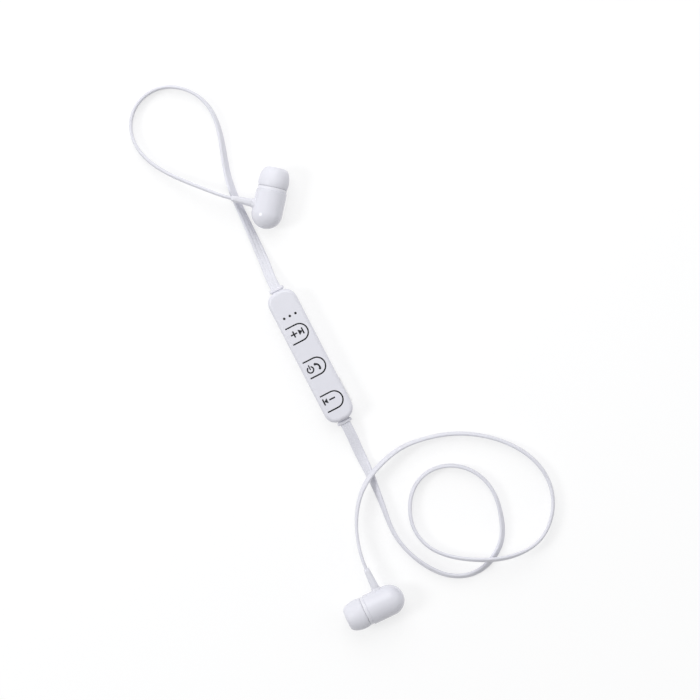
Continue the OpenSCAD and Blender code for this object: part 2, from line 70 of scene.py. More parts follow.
def make_camera():
    data = bpy.data.cameras.new("camera")
    data.lens = data.sensor_width * VIEW_HEIGHT / VIEW_WIDTH
    camera = link("camera", data)
    camera.location = VIEW_CENTRE + UP * VIEW_HEIGHT
    camera.rotation_euler = (0, 0, VIEW_TURN)
    scene.camera = camera


make_camera()


# ---- Materials ----

# Features per metre of the textures that several finishes share.
WAVES = 140
GRAIN = 5200


def darker(color, share):
    return [c * share for c in color]


class Finish:
    """A procedural material, built up from textures on a principled shader."""

    def __init__(self, name, color, roughness, **sockets):
        self.made = bpy.data.materials.new(name)
        self.made.use_nodes = True
        self.tree = self.made.node_tree
        self.shader = self.tree.nodes["Principled BSDF"]
        self.set("Base Color", (*color, 1))
        self.set("Roughness", roughness)
        for socket, value in sockets.items():
            self.set(socket.replace("_", " "), value)
        self.normal = None

    def set(self, socket, value):
        self.shader.inputs[socket].default_value = value

    def node(self, kind, **inputs):
        made = self.tree.nodes.new("ShaderNode" + kind)
        for socket, value in inputs.items():
            made.inputs[socket].default_value = value
        return made

    def texture(self, kind, scale, stretch=(1, 1, 1), space="Object", **inputs):
        """A texture of that scale, in features per metre."""
        where = self.node("TexCoord")
        mapping = self.node("Mapping", Scale=[scale * s for s in stretch])
        made = self.node(kind, Scale=1, **inputs)
        self.tree.links.new(where.outputs[space], mapping.inputs["Vector"])
        self.tree.links.new(mapping.outputs["Vector"], made.inputs["Vector"])
        return made.outputs[0]

    def ranged(self, value, low, high, start=0.3, end=0.7):
        """The texture's value, spread from low to high."""
        made = self.node("MapRange")
        given = {"From Min": start, "From Max": end, "To Min": low, "To Max": high}
        for socket, number in given.items():
            made.inputs[socket].default_value = number
        self.tree.links.new(value, made.inputs["Value"])
        return made.outputs["Result"]

    def tint(self, value, low, high):
        """The base colour goes from low to high with a value from 0 to 1."""
        mix = self.tree.nodes.new("ShaderNodeMix")
        mix.data_type = "RGBA"
        sockets = {s.identifier: s for s in mix.inputs}
        sockets["A_Color"].default_value = (*low, 1)
        sockets["B_Color"].default_value = (*high, 1)
        self.tree.links.new(value, sockets["Factor_Float"])
        result = next(s for s in mix.outputs if s.identifier == "Result_Color")
        self.tree.links.new(result, self.shader.inputs["Base Color"])
        return self

    def rough(self, value, low, high):
        self.tree.links.new(self.ranged(value, low, high), self.shader.inputs["Roughness"])
        return self

    def bump(self, value, height):
        """Relief of that height in metres, on top of what is there."""
        made = self.node("Bump", Strength=1, Distance=height)
        self.tree.links.new(value, made.inputs["Height"])
        if self.normal:
            self.tree.links.new(self.normal, made.inputs["Normal"])
        self.normal = made.outputs["Normal"]
        self.tree.links.new(self.normal, self.shader.inputs["Normal"])
        return self


def moulded(name, color, roughness, grain, **sockets):
    """Moulded plastic or rubber: faint mottling, slow waves from the tool and a fine grain."""
    made = Finish(name, color, roughness, **sockets)
    slow = made.texture("TexNoise", WAVES, Detail=2)
    fine = made.texture("TexNoise", GRAIN, Detail=3)
    spread = 0.04
    wave_height = 6e-6
    made.tint(made.ranged(slow, 0, 1), darker(color, 0.975), color)
    made.rough(slow, roughness - spread, roughness + spread)
    made.bump(slow, wave_height)
    made.bump(fine, grain)
    return made.made


def extruded(name, color, roughness):
    """A cable's skin: fine lines from the die run along it. Its map has metres along and around."""
    made = Finish(name, color, roughness)
    lines = made.texture("TexNoise", GRAIN, stretch=(0.012, 1, 1), space="UV", Detail=3)
    slow = made.texture("TexNoise", 90, Detail=2)
    spread = 0.06
    line_height = 7e-6
    made.tint(made.ranged(slow, 0, 1), darker(color, 0.97), color)
    made.rough(lines, roughness - spread, roughness + spread)
    made.bump(lines, line_height)
    return made.made


def brushed(name, color, roughness):
    """Rolled or turned metal, with fine scratches across it."""
    made = Finish(name, color, roughness, Metallic=1.0)
    lines = made.texture("TexNoise", 4000, stretch=(0.04, 1, 1), Detail=3)
    spread = 0.1
    scratch_depth = 2e-6
    made.rough(lines, roughness - spread, roughness + spread)
    made.bump(lines, scratch_depth)
    return made.made


def foil(name, color):
    """A battery's wrinkled foil."""
    made = Finish(name, color, 0.32, Metallic=1.0)
    wrinkles = made.texture("TexNoise", 320, Detail=4, Distortion=0.6)
    wrinkle_height = 6e-5
    made.bump(wrinkles, wrinkle_height)
    made.rough(made.texture("TexNoise", 1500, Detail=2), 0.25, 0.42)
    return made.made


def board(name, mask, copper):
    """Solder mask over a pattern of tracks."""
    made = Finish(name, mask, 0.35)
    tracks_per_m = 620
    track_height = 1e-5
    tracks = made.node("TexBrick")
    where = made.node("TexCoord")
    mapping = made.node("Mapping", Scale=[tracks_per_m] * 3)
    made.tree.links.new(where.outputs["Object"], mapping.inputs["Vector"])
    made.tree.links.new(mapping.outputs["Vector"], tracks.inputs["Vector"])
    made.tint(made.ranged(tracks.outputs["Fac"], 0, 1, start=0, end=1), mask, copper)
    made.bump(tracks.outputs["Fac"], track_height)
    return made.made


def cellular(name, color):
    """Foam, with open cells."""
    made = Finish(name, color, 0.9)
    cells = made.texture("TexVoronoi", 2600)
    cell_depth = 8e-5
    made.tint(made.ranged(cells, 0, 1), darker(color, 0.5), color)
    made.bump(cells, cell_depth)
    return made.made


def woven(name, color):
    """Fine metal mesh over a nozzle: round holes in rows."""
    made = Finish(name, color, 0.4, Metallic=0.8)
    holes = made.texture("TexVoronoi", 3800, Randomness=0)
    hole_depth = 6e-5
    made.tint(made.ranged(holes, 0, 1, start=0.25, end=0.4), darker(color, 0.1), color)
    made.bump(holes, hole_depth)
    return made.made


WHITE = (0.80, 0.80, 0.862)
SATIN = moulded("satin_plastic", WHITE, 0.36, 2.5e-6)
GLOSS = moulded("gloss_plastic", WHITE, 0.15, 4e-7)
# Whiter than the shell: the front cap's rim band is painted lighter as a painted highlight.
HIGHLIGHT_PLASTIC = moulded("cap_plastic_painted_highlight", (0.84, 0.84, 0.895), 0.13, 4e-7)
RUBBER = moulded("white_rubber", (0.80, 0.80, 0.855), 0.48, 3e-6)
SILICONE = moulded("silicone", (0.81, 0.81, 0.87), 0.45, 2e-6)
# Whiter than the other rubber: a painted highlight for the light that catches the port cover's edge.
HIGHLIGHT_RUBBER = moulded("port_rubber_painted_highlight", (0.97, 0.97, 0.97), 0.4, 2e-6)
CABLE = extruded("cable_skin", (0.80, 0.80, 0.86), 0.4)
INK = moulded("ink", (0.012, 0.012, 0.015), 0.55, 1e-6, Specular_IOR_Level=0.2)
BLACK = moulded("black_plastic", (0.022, 0.022, 0.024), 0.5, 4e-6)
# Near-black painted shade for the walls of the slots, holes and keys, standing in for the shadow inside the
# openings.
PAINTED_SHADE = moulded("painted_recess_shade", (0.012, 0.012, 0.015), 0.7, 4e-6, Specular_IOR_Level=0.2)
CERAMIC = moulded("ceramic", (0.72, 0.69, 0.62), 0.5, 3e-6)
MEMBRANE = moulded("membrane", (0.62, 0.62, 0.64), 0.3, 4e-6)
STEEL = brushed("steel", (0.62, 0.62, 0.63), 0.34)
MAGNET = brushed("nickel_plate", (0.42, 0.41, 0.4), 0.4)
FOIL = foil("battery_foil", (0.66, 0.68, 0.72))
BOARD = board("solder_mask", (0.006, 0.02, 0.014), (0.012, 0.045, 0.028))
FOAM = cellular("foam", (0.05, 0.05, 0.055))
MESH = woven("nozzle_mesh", (0.5, 0.5, 0.52))


# ---- Shared shapes ----

FACE_WEIGHT = 80             # how firmly the large faces stay flat under smooth shading
SAME_POINT = 1e-8
LEAST_R = 0.02 * MM


def smooth(piece, angle=35):
    """Smooth shading with sharp edges above the angle, and flat faces kept flat."""
    for face in piece.data.polygons:
        face.use_smooth = True
    piece.data.set_sharp_from_angle(angle=math.radians(angle))
    step = piece.modifiers.new("normals", "WEIGHTED_NORMAL")
    step.keep_sharp = True
    step.weight = FACE_WEIGHT
    return piece


def loft(name, *bodies, joined=False):
    """A mesh of closed bodies, each through rings of equally many points.

    A joined body goes on from its last ring to its first, and has no ends.
    """
    bm = bmesh.new()
    for rings in bodies:
        rows = [[bm.verts.new(point) for point in ring] for ring in rings]
        count = len(rows[0])
        pairs = list(zip(rows, rows[1:]))
        if joined:
            pairs.append((rows[-1], rows[0]))
        else:
            bm.faces.new(reversed(rows[0]))
            bm.faces.new(rows[-1])
        for low, high in pairs:
            for j in range(count):
                k = (j + 1) % count
                bm.faces.new((low[j], low[k], high[k], high[j]))
    bmesh.ops.remove_doubles(bm, verts=bm.verts, dist=SAME_POINT)
    bmesh.ops.recalc_face_normals(bm, faces=bm.faces)
    mesh = bpy.data.meshes.new(name)
    bm.to_mesh(mesh)
    bm.free()
    return link(name, mesh)


def fillet(corners, steps=5):
    """A closed outline through corners (x, y, radius), each rounded by its radius."""
    outline = []
    for i, (x, y, radius) in enumerate(corners):
        here = Vector((x, y))
        if radius <= 0:
            outline.append(here)
            continue
        before = (Vector(corners[i - 1][:2]) - here).normalized()
        after = (Vector(corners[(i + 1) % len(corners)][:2]) - here).normalized()
        half = before.angle(after) / 2
        centre = here + (before + after).normalized() * radius / math.sin(half)
        start = here + before * radius / math.tan(half) - centre
        end = here + after * radius / math.tan(half) - centre
        turn = math.atan2(start.x * end.y - start.y * end.x, start.dot(end))
        outline += [centre + Matrix.Rotation(turn * k / steps, 2) @ start for k in range(steps + 1)]
    return outline


def plain(points):
    """Corners with no rounding."""
    return [(x, y, 0) for x, y in points]


def rectangle(half_x, half_y, radius, steps=5):
    return fillet([(half_x, -half_y, radius), (half_x, half_y, radius),
                   (-half_x, half_y, radius), (-half_x, -half_y, radius)], steps)


def quarter(inset, z, radius, up, start, end, steps=8):
    """(inset, z) pairs round a housing's edge: the wall at inset curves in from the height z."""
    angles = [math.radians(start + (end - start) * k / steps) for k in range(steps + 1)]
    return [(inset + radius * (1 - math.cos(a)), z + up * radius * math.sin(a)) for a in angles]


def lathe(name, outline, place, steps=96):
    """A closed (radius, height) outline turned about the axis of place."""
    rings = []
    for k in range(steps):
        turn = Matrix.Rotation(2 * math.pi * k / steps, 3, "Z")
        rings.append([place @ (turn @ Vector((r, 0, z))) for r, z in outline])
    return loft(name, rings, joined=True)


def slab(name, low, high, across, corner, edge, steps=4):
    """A block between two corners, flat across one axis.

    Its outline is rounded by corner, and the edges of its two flat faces by edge.
    """
    u, v = [axis for axis in range(3) if axis != across]
    middle = (Vector(low) + Vector(high)) / 2
    half = (Vector(high) - Vector(low)) / 2
    rings = []
    profile = quarter(0, half[across] - edge, edge, 1, 90, 0, steps)
    for inset, height in [(i, -z) for i, z in profile] + profile[::-1]:
        ring = []
        for a, b in rectangle(half[u] - inset, half[v] - inset, max(corner - inset, LEAST_R)):
            point = middle.copy()
            point[u] += a
            point[v] += b
            point[across] += height
            ring.append(point)
        rings.append(ring)
    return loft(name, rings)


def cut(piece, finish, wall, *cutters):
    """Takes the cutters' shapes out of the piece. The cut's own faces get the wall's finish."""
    piece.data.materials.append(finish)
    for cutter in cutters:
        cutter.data.materials.append(wall)
        step = piece.modifiers.new("cut", "BOOLEAN")
        step.operation = "DIFFERENCE"
        step.solver = "EXACT"
        step.material_mode = "TRANSFER"
        step.object = cutter
    bpy.context.view_layer.update()
    shaped = piece.evaluated_get(bpy.context.evaluated_depsgraph_get())
    mesh = bpy.data.meshes.new_from_object(shaped)
    piece.modifiers.clear()
    piece.data = mesh
    for cutter in cutters:
        bpy.data.objects.remove(cutter)
    return piece


def dress(piece, finish, body, slot, *nodes, angle=35):
    """Gives a new piece its shading, finish and body, and hides the nodes it stands for. Its slot is not used."""
    smooth(piece, angle)
    if not piece.data.materials:
        piece.data.materials.append(finish)
    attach(piece, body)
    if nodes:
        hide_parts(*nodes)
    return piece


# ---- Where the earbuds lie ----

def record_item(kind, name):
    items = frame["joints"] if kind == "joints" else frame["record"][kind]
    return next(item for item in items if item["name"] == name)


def local_box(node, place):
    """Lowest and highest corner of a CAD node, in the axes of place."""
    back = place.inverted()
    points = [back @ vertex.co for vertex in frame["nodes"][node].data.vertices]
    return Vector(map(min, zip(*points))), Vector(map(max, zip(*points)))


class Bud:
    """An earbud's place and sizes, from its CAD nodes.

    Its own Z runs from its dome to its tip, and its X to its strain relief. Turn is the level
    angle from the one to the other, and lift how far the strain relief points up.
    """

    def __init__(self, side, turn, lift):
        self.side = side
        axis = Vector(record_item("joints", f"{side}_tip_pull")["axis"]).normalized()
        level = Matrix.Rotation(math.radians(turn), 3, "Z") @ axis
        reach = level * math.cos(math.radians(lift)) + UP * math.sin(math.radians(lift))
        frame_axes = Matrix((reach, axis.cross(reach), axis)).transposed().to_4x4()
        shell_low, _ = local_box(f"{side}_rear_shell", frame_axes)
        mesh_low, mesh_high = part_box(f"{side}_nozzle_mesh")
        middle = (mesh_low + mesh_high) / 2
        start = middle + axis * (shell_low.z - axis.dot(middle))
        self.place = Matrix.Translation(start) @ frame_axes
        self.shell = self.box("rear_shell")
        self.cap = self.box("front_cap")
        self.tip = self.box("ear_tip")
        self.relief = self.box("strain_relief")
        self.relief_at = (self.relief[0].z + self.relief[1].z) / 2
        self.exit = self.place @ Vector((self.relief[1].x, 0, self.relief_at))
        self.reach = reach

    def box(self, piece):
        return local_box(f"{self.side}_{piece}", self.place)


BUDS = {"right": Bud("right", turn=90, lift=4.5), "left": Bud("left", turn=-90, lift=0)}


# ---- Cords ----

CABLE_W = 4 * MM
CABLE_T = 1.2 * MM
EDGE_R = CABLE_T / 2
HALF_FLAT = CABLE_W / 2 - EDGE_R
GROOVE_AT = 0.75 * MM        # from the cable's middle
GROOVE_W = 0.17 * MM
GROOVE_D = 0.15 * MM
FACE_STEPS = 18              # points across each flat face
EDGE_STEPS = 8               # points round each edge
CORD_STEP = 1 * MM
TUCKED = 0.8 * MM            # how far a cord reaches into its collar and its strain relief

# x and y in millimetres from the collar's end, the gap below the cable, and its roll in degrees.
SHORT_ROUTE = [
    (0, 4, 2.8, 0), (0.6, 10, 1.2, 8), (1, 16, 0.3, 20),
    (1.3, 22, 0, 34), (1.6, 29, 0, 46), (2, 37, 0, 52), (3, 45, 0, 58),
    (5.5, 54, 0, 64), (8, 62, 0, 72), (9.2, 69, 0, 78), (8.8, 75, 0, 82),
    (6.5, 80.5, 0, 85), (2, 85.5, 0, 86), (-4, 88.5, 0, 86), (-10.5, 88.6, 0, 86),
    (-16.5, 86, 0, 86), (-20.8, 81, 0, 86), (-22.5, 75, 0, 86), (-21.7, 68, 0.2, 86),
    (-18.8, 61.5, 0.9, 86), (-14.6, 55.3, 2.1, 86), (-9.6, 49.2, 3.7, 87), (-4.2, 43, 4.9, 89),
]
LONG_ROUTE = [
    (0, -4, 2.8, 0), (-0.4, -12, 0.8, 10), (-0.6, -20, 0, 36),
    (-1.1, -28, 0, 60), (-2.1, -37, 0, 73), (-2.8, -46, 0, 79), (-1.2, -55, 0, 79),
    (3, -63.8, 0, 73), (9.6, -70.9, 0, 72), (18, -73.8, 0, 67), (26.3, -72, 0, 62),
    (32.8, -67, 0, 66), (36.8, -58.6, 0, 73), (38.3, -50, 0, 82), (36.2, -41, 0, 84),
    (30, -34, 0, 85), (21.5, -31.2, 0, 86), (13, -33.5, 0, 86), (7.2, -40, 0, 86),
    (4.8, -48.5, 0.2, 85), (6.8, -57, 1, 82), (13, -64.2, 2.4, 78), (20.5, -69.2, 3.8, 75),
    (28.5, -72.9, 4.1, 72), (37, -74.8, 3.1, 76), (45.5, -73.9, 1.9, 80), (53, -68.9, 0.8, 80),
    (58.2, -60, 0.1, 80), (58.6, -49, 0, 80), (54, -38.5, 0, 82), (45.5, -29.3, 0, 84),
    (35, -22.7, 0.2, 84), (25, -19.4, 1.1, 84), (14.5, -18.2, 2.3, 80), (5, -20, 3.4, 76),
    (-4.5, -24.6, 3.5, 78), (-11.6, -32.2, 3, 86), (-16.3, -42, 3, 90),
]


def spline(points, first, last, spacing):
    """Evenly spread points of a smooth curve through points, with these slopes at its two ends."""
    p = np.array(points, float)
    steps = np.linalg.norm(np.diff(p[:, :2], axis=0), axis=1)
    count = len(p)
    matrix = np.zeros((count, count))
    wanted = np.zeros_like(p)
    matrix[0, 0] = matrix[-1, -1] = 1
    wanted[0], wanted[-1] = first, last
    for i in range(1, count - 1):
        before, after = steps[i - 1], steps[i]
        matrix[i, i - 1:i + 2] = after, 2 * (before + after), before
        wanted[i] = 3 * (after * (p[i] - p[i - 1]) / before + before * (p[i + 1] - p[i]) / after)
    slopes = np.linalg.solve(matrix, wanted)
    curve = []
    for i, step in enumerate(steps):
        pieces = max(1, round(step / spacing))
        for k in range(pieces):
            t = k / pieces
            curve.append((1 + 2 * t) * (1 - t) ** 2 * p[i]
                         + t * (1 - t) ** 2 * step * slopes[i]
                         + t * t * (3 - 2 * t) * p[i + 1]
                         + t * t * (t - 1) * step * slopes[i + 1])
    return [*curve, p[-1]]


def cord_centre(x, y, gap, roll):
    """Middle of the cable where its lowest point is gap above the floor."""
    return Vector((x, y, max(gap, 0) + HALF_FLAT * math.sin(roll) + EDGE_R))


def cable_section():
    """The cable's outline, across its width and thickness: round edges and two grooves a side."""
    outline = []
    for side in (1, -1):
        for k in range(FACE_STEPS):
            w = side * HALF_FLAT * (1 - 2 * k / FACE_STEPS)
            groove = GROOVE_D * math.exp(-((abs(w) - GROOVE_AT) / GROOVE_W) ** 2)
            outline.append((w, side * (EDGE_R - groove)))
        for k in range(EDGE_STEPS):
            a = math.pi / 2 * (1 + 2 * k / EDGE_STEPS)
            w = -HALF_FLAT + EDGE_R * math.cos(a)
            outline.append((side * w, side * EDGE_R * math.sin(a)))
    return outline


def add_map(piece, section, centres):
    """A map of the cord's skin: metres along it, and around it."""
    mesh = piece.data
    around = [0.0]
    for a, b in zip(section, section[1:] + section[:1]):
        around.append(around[-1] + math.dist(a, b))
    along = [0.0]
    for a, b in zip(centres, centres[1:]):
        along.append(along[-1] + (b - a).length)
    count = len(section)
    places = mesh.uv_layers.new(name="skin")
    for face in mesh.polygons:
        numbers = [mesh.loops[i].vertex_index for i in face.loop_indices]
        wraps = max(n % count for n in numbers) - min(n % count for n in numbers) > 1
        for i, n in zip(face.loop_indices, numbers):
            ring, j = divmod(n, count)
            j = count if wraps and j == 0 and len(face.vertices) == 4 else j
            places.data[i].uv = (along[ring], around[j])


def make_cord(name, route, collar, heading, bud):
    """A flat cable from its collar, along the route, to the bud's strain relief."""
    low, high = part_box(collar)
    start = Vector(((low.x + high.x) / 2, high.y if heading > 0 else low.y, (low.z + high.z) / 2))
    end = bud.exit
    points = [(start.x, start.y, start.z - EDGE_R, 0)]
    for x, y, gap, roll in route:
        points.append((x * MM, start.y + y * MM, gap * MM, math.radians(roll)))
    points.append((end.x, end.y, end.z - HALF_FLAT - EDGE_R, math.pi / 2))
    ends = [(0, heading, 0, 0), (-bud.reach.x, -bud.reach.y, -bud.reach.z, 0)]
    curve = spline(points, *ends, CORD_STEP)
    centres = [cord_centre(*p) for p in curve]
    rolls = [p[3] for p in curve]
    centres = [start - Vector((0, heading, 0)) * TUCKED, *centres, end - bud.reach * TUCKED]
    rolls = [0, *rolls, math.pi / 2]
    section = cable_section()
    rings = []
    for i, (centre, roll) in enumerate(zip(centres, rolls)):
        along = (centres[min(i + 1, len(centres) - 1)] - centres[max(i - 1, 0)]).normalized()
        left = UP.cross(along).normalized()
        over = along.cross(left)
        wide = left * math.cos(roll) + over * math.sin(roll)
        thick = over * math.cos(roll) - left * math.sin(roll)
        rings.append([centre + wide * w + thick * t for w, t in section])
    cord = loft(f"{name}_cord_cable", rings)
    add_map(cord, section, centres)
    dress(cord, CABLE, "housing", "white_cable", f"{name}_cord", angle=60)


make_cord("short", SHORT_ROUTE, "upper_collar", 1, BUDS["right"])
make_cord("long", LONG_ROUTE, "lower_collar", -1, BUDS["left"])


# ---- Pod ----

_, pod_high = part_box("pod_top_cover")
POD_SIDE, POD_END, POD_TOP = pod_high
SEAM_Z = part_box("pod_top_cover")[0].z
POD_WALL = 1 * MM
POD_CORNER = 4.5 * MM
TOP_EDGE = 1.5 * MM
BOTTOM_EDGE = 2 * MM
CEILING_Z = POD_TOP - POD_WALL
LIP_T = 0.4 * MM
LIP_H = 0.6 * MM
PLAY = 0.05 * MM
GROOVE = 0.12 * MM           # chamfer of each cover along the seam
LIP = 0.09 * MM              # rounding of the slots' and the buttons' edges
SLOT_W = 0.45 * MM
NUB_R = 0.9 * MM             # the nub under a button, which presses its switch
NUB_EDGE = 0.2 * MM
HINGE_PLAY = 0.006 * MM
HOLE_X = (-2.4 * MM, 0, 2.4 * MM)
HOLE_Y = 17 * MM
HOLE_R = 0.4 * MM
BUTTONS = ("volume_up", "call", "volume_down")


def pod_rings(profile):
    """Rings round the pod through (inset, z) pairs."""
    rings = []
    for inset, z in profile:
        outline = rectangle(POD_SIDE - inset, POD_END - inset, POD_CORNER - inset, steps=16)
        rings.append([(p.x, p.y, z) for p in outline])
    return rings


class Button:
    """A tongue of the top cover: where its hinge line, its round end and its nub are."""

    def __init__(self, name):
        low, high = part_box(f"{name}_button")
        self.name = name
        self.hinge_x = low.x
        self.y = (low.y + high.y) / 2
        self.radius = (high.y - low.y) / 2
        self.x = high.x - self.radius
        self.nub_z = low.z

    def ring(self, grow, z, back=0.0, steps=28):
        """The outline at a height, grown by a margin, with its straight end moved by back."""
        half = self.radius + grow
        points = [(self.hinge_x + back, self.y - half, z)]
        for k in range(steps + 1):
            a = math.pi * (k / steps - 0.5)
            points.append((self.x + half * math.cos(a), self.y + half * math.sin(a), z))
        return [*points, (self.hinge_x + back, self.y + half, z)]


def slot_cutter(button):
    """The opening round a button, flared at the top so that its edge comes out rounded."""
    below = CEILING_Z - POD_WALL
    rings = [button.ring(SLOT_W, below)]
    for grow, z in quarter(0, POD_TOP - LIP, LIP, 1, 0, 90, 5):
        rings.append(button.ring(SLOT_W + grow, z))
    rings.append(button.ring(SLOT_W + LIP, POD_TOP + POD_WALL))
    return loft(f"{button.name}_slot", rings)


def hole_cutter(x):
    below = CEILING_Z - POD_WALL
    outline = [(0, below), (HOLE_R, below)]
    outline += [(HOLE_R + grow, z) for grow, z in quarter(0, POD_TOP - LIP, LIP, 1, 0, 90, 4)]
    outline += [(HOLE_R + LIP, POD_TOP + POD_WALL), (0, POD_TOP + POD_WALL)]
    return lathe("hole", outline, Matrix.Translation((x, HOLE_Y, 0)), 40)


def make_top_cover(buttons):
    inner_r = TOP_EDGE - POD_WALL
    rebate = POD_WALL - LIP_T - PLAY
    rebate_z = SEAM_Z + LIP_H + PLAY
    profile = quarter(POD_WALL, CEILING_Z - inner_r, inner_r, 1, 90, 0, 4)
    profile += [(POD_WALL, rebate_z), (rebate, rebate_z), (rebate, SEAM_Z), (GROOVE, SEAM_Z),
                (0, SEAM_Z + GROOVE)]
    profile += quarter(0, POD_TOP - TOP_EDGE, TOP_EDGE, 1, 0, 90, 12)
    cover = loft("pod_top_shell", pod_rings(profile))
    slots = [slot_cutter(button) for button in buttons]
    holes = [hole_cutter(x) for x in HOLE_X]
    # The walls of the slots and holes get the painted shade, so that the openings read dark.
    cut(cover, SATIN, PAINTED_SHADE, *slots, *holes)
    dress(cover, SATIN, "housing", "white_plastic", "pod_top_cover")


def make_bottom_cover():
    inner_r = BOTTOM_EDGE - POD_WALL
    profile = quarter(POD_WALL, POD_WALL + inner_r, inner_r, -1, 90, 0, 6)
    profile += [(POD_WALL, SEAM_Z + LIP_H), (POD_WALL - LIP_T, SEAM_Z + LIP_H),
                (POD_WALL - LIP_T, SEAM_Z), (GROOVE, SEAM_Z), (0, SEAM_Z - GROOVE)]
    profile += quarter(0, BOTTOM_EDGE, BOTTOM_EDGE, -1, 0, 90, 12)
    cover = loft("pod_bottom_shell", pod_rings(profile))
    flap_low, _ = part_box("port_cover")
    anchor_low, anchor_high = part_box("port_cover_anchor")
    usb_low, usb_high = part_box("usb_shell")
    outside = POD_SIDE + POD_WALL
    play = Vector((PLAY, PLAY, PLAY))
    recess_low = Vector((anchor_low.x, flap_low.y, flap_low.z)) - play
    recess_high = Vector((outside, anchor_high.y + PLAY, SEAM_Z + POD_WALL))
    recess = slab("recess", recess_low, recess_high, across=0, corner=0.4 * MM, edge=0.1 * MM)
    socket_play = Vector((0, 0.25, 0.25)) * MM
    socket_low = usb_low - socket_play + Vector((usb_high.x - usb_low.x - POD_WALL, 0, 0))
    socket_high = Vector((outside, usb_high.y, usb_high.z)) + socket_play
    socket = slab("socket", socket_low, socket_high, across=0, corner=0.3 * MM, edge=0.1 * MM)
    cut(cover, SATIN, SATIN, recess, socket)
    dress(cover, SATIN, "housing", "white_plastic", "pod_bottom_cover")


def make_hole_mesh(x):
    """Acoustic mesh at the bottom of a hole, in dark foam that also stands in as painted shade for the hole's
    depth.
    """
    low, high = CEILING_Z - 0.2 * MM, CEILING_Z - 0.05 * MM
    outline = [(0, low), (HOLE_R + PLAY, low), (HOLE_R + PLAY, high), (0, high)]
    piece = lathe("microphone_mesh", outline, Matrix.Translation((x, HOLE_Y, 0)), 32)
    dress(piece, FOAM, "housing", "foam")


def make_button(button):
    """The tongue with its nub. Its end is cut back below the hinge, so that it turns freely."""
    def end_gap(z):
        return HINGE_PLAY + (POD_TOP - z) * PLAY / POD_WALL

    rings = [button.ring(0, CEILING_Z, end_gap(CEILING_Z))]
    for inset, z in quarter(0, POD_TOP - LIP, LIP, 1, 0, 90, 5):
        rings.append(button.ring(-inset, z, end_gap(z)))
    turns = [2 * math.pi * k / 32 for k in range(32)]
    nub_profile = [(NUB_R - NUB_EDGE, button.nub_z), (NUB_R, button.nub_z + NUB_EDGE),
                   (NUB_R, CEILING_Z + PLAY)]
    nub = [[(button.x + r * math.cos(a), button.y + r * math.sin(a), z) for a in turns]
           for r, z in nub_profile]
    piece = loft(f"{button.name}_key", rings, nub)
    piece.data.materials.append(SATIN)
    # Slot 1 is painted shade: the key's side walls below its rounded edge are near-black for the shadow in the
    # slot around it.
    piece.data.materials.append(PAINTED_SHADE)
    for face in piece.data.polygons:
        upright = abs(face.normal.z) < 0.1
        if upright and face.center.z < POD_TOP - LIP:
            face.material_index = 1
    dress(piece, SATIN, f"{button.name}_button_body", "white_plastic", f"{button.name}_button")


def make_port_cover():
    """The cover's outer plate, its plug that fills the socket, and the anchor that it hangs on."""
    low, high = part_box("port_cover")
    anchor_low, anchor_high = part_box("port_cover_anchor")
    edge = 0.22 * MM
    plate_low = Vector((anchor_low.x, low.y, low.z))
    plate = slab("port_cover_plate", plate_low, high, across=0, corner=0.45 * MM, edge=edge)
    # The port cover's whiter rubber is a painted highlight on its edge.
    dress(plate, HIGHLIGHT_RUBBER, "port_cover_body", "white_rubber", "port_cover")
    usb_low, usb_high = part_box("usb_shell")
    plug_low = Vector((low.x, usb_low.y + 0.6 * MM, usb_low.z + 0.5 * MM))
    plug_high = Vector((anchor_low.x + PLAY, usb_high.y - 1.4 * MM, usb_high.z - 0.5 * MM))
    plug = slab("port_cover_plug", plug_low, plug_high, across=0, corner=0.4 * MM, edge=0.1 * MM)
    dress(plug, HIGHLIGHT_RUBBER, "port_cover_body", "white_rubber")
    anchor = slab("port_cover_hinge", anchor_low, anchor_high, across=0, corner=0.3 * MM, edge=edge)
    dress(anchor, HIGHLIGHT_RUBBER, "housing", "white_rubber", "port_cover_anchor")


def make_collar(name, end):
    """A rubber ring round the cable: a bead that bulges outside a narrow neck in the pod's wall."""
    low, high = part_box(name)
    middle_z = (low.z + high.z) / 2
    out = high.y if end > 0 else -low.y
    half_x, half_z = (high.x - low.x) / 2, (high.z - low.z) / 2
    inside = POD_END - 1.2 * MM
    groove = POD_END + 0.3 * MM
    neck = 0.6
    bulge = 0.45
    profile = [(inside, neck), (groove, neck)]
    steps = 8
    for k in range(steps + 1):
        a = math.pi * k / steps
        along = groove + (out - groove) * (1 - math.cos(a)) / 2
        profile.append((along, bulge * (1 - math.sin(a) ** 0.5)))
    rings = []
    for along, inset in profile:
        outline = rectangle(half_x - inset * MM, half_z - inset * MM, 0.9 * MM, steps)
        rings.append([(p.x, end * along, middle_z + p.y) for p in outline])
    piece = loft(f"{name}_ring", rings)
    dress(piece, RUBBER, "housing", "white_rubber", name, angle=50)


buttons = [Button(name) for name in BUTTONS]
make_top_cover(buttons)
make_bottom_cover()
for button in buttons:
    make_button(button)
make_hole_mesh(HOLE_X[2])
make_port_cover()
make_collar("upper_collar", 1)
make_collar("lower_collar", -1)


# ---- Printed symbols ----

INK_T = 0.02 * MM


def print_on(button, *outlines):
    """Ink on a button. Outlines are in millimetres from the pod's middle line and the button's."""
    bodies = []
    for outline in outlines:
        bodies.append([[(x * MM, button.y + y * MM, POD_TOP + z) for x, y in outline]
                       for z in (-PLAY, INK_T)])
    piece = loft(f"{button.name}_symbols", *bodies)
    dress(piece, INK, f"{button.name}_button_body", "black_plastic")


def bar(x, y, w, h):
    """A rectangle with slightly rounded corners, centred on x and y."""
    return [(x + p.x, y + p.y) for p in rectangle(w / 2, h / 2, min(w, h) * 0.2, 2)]


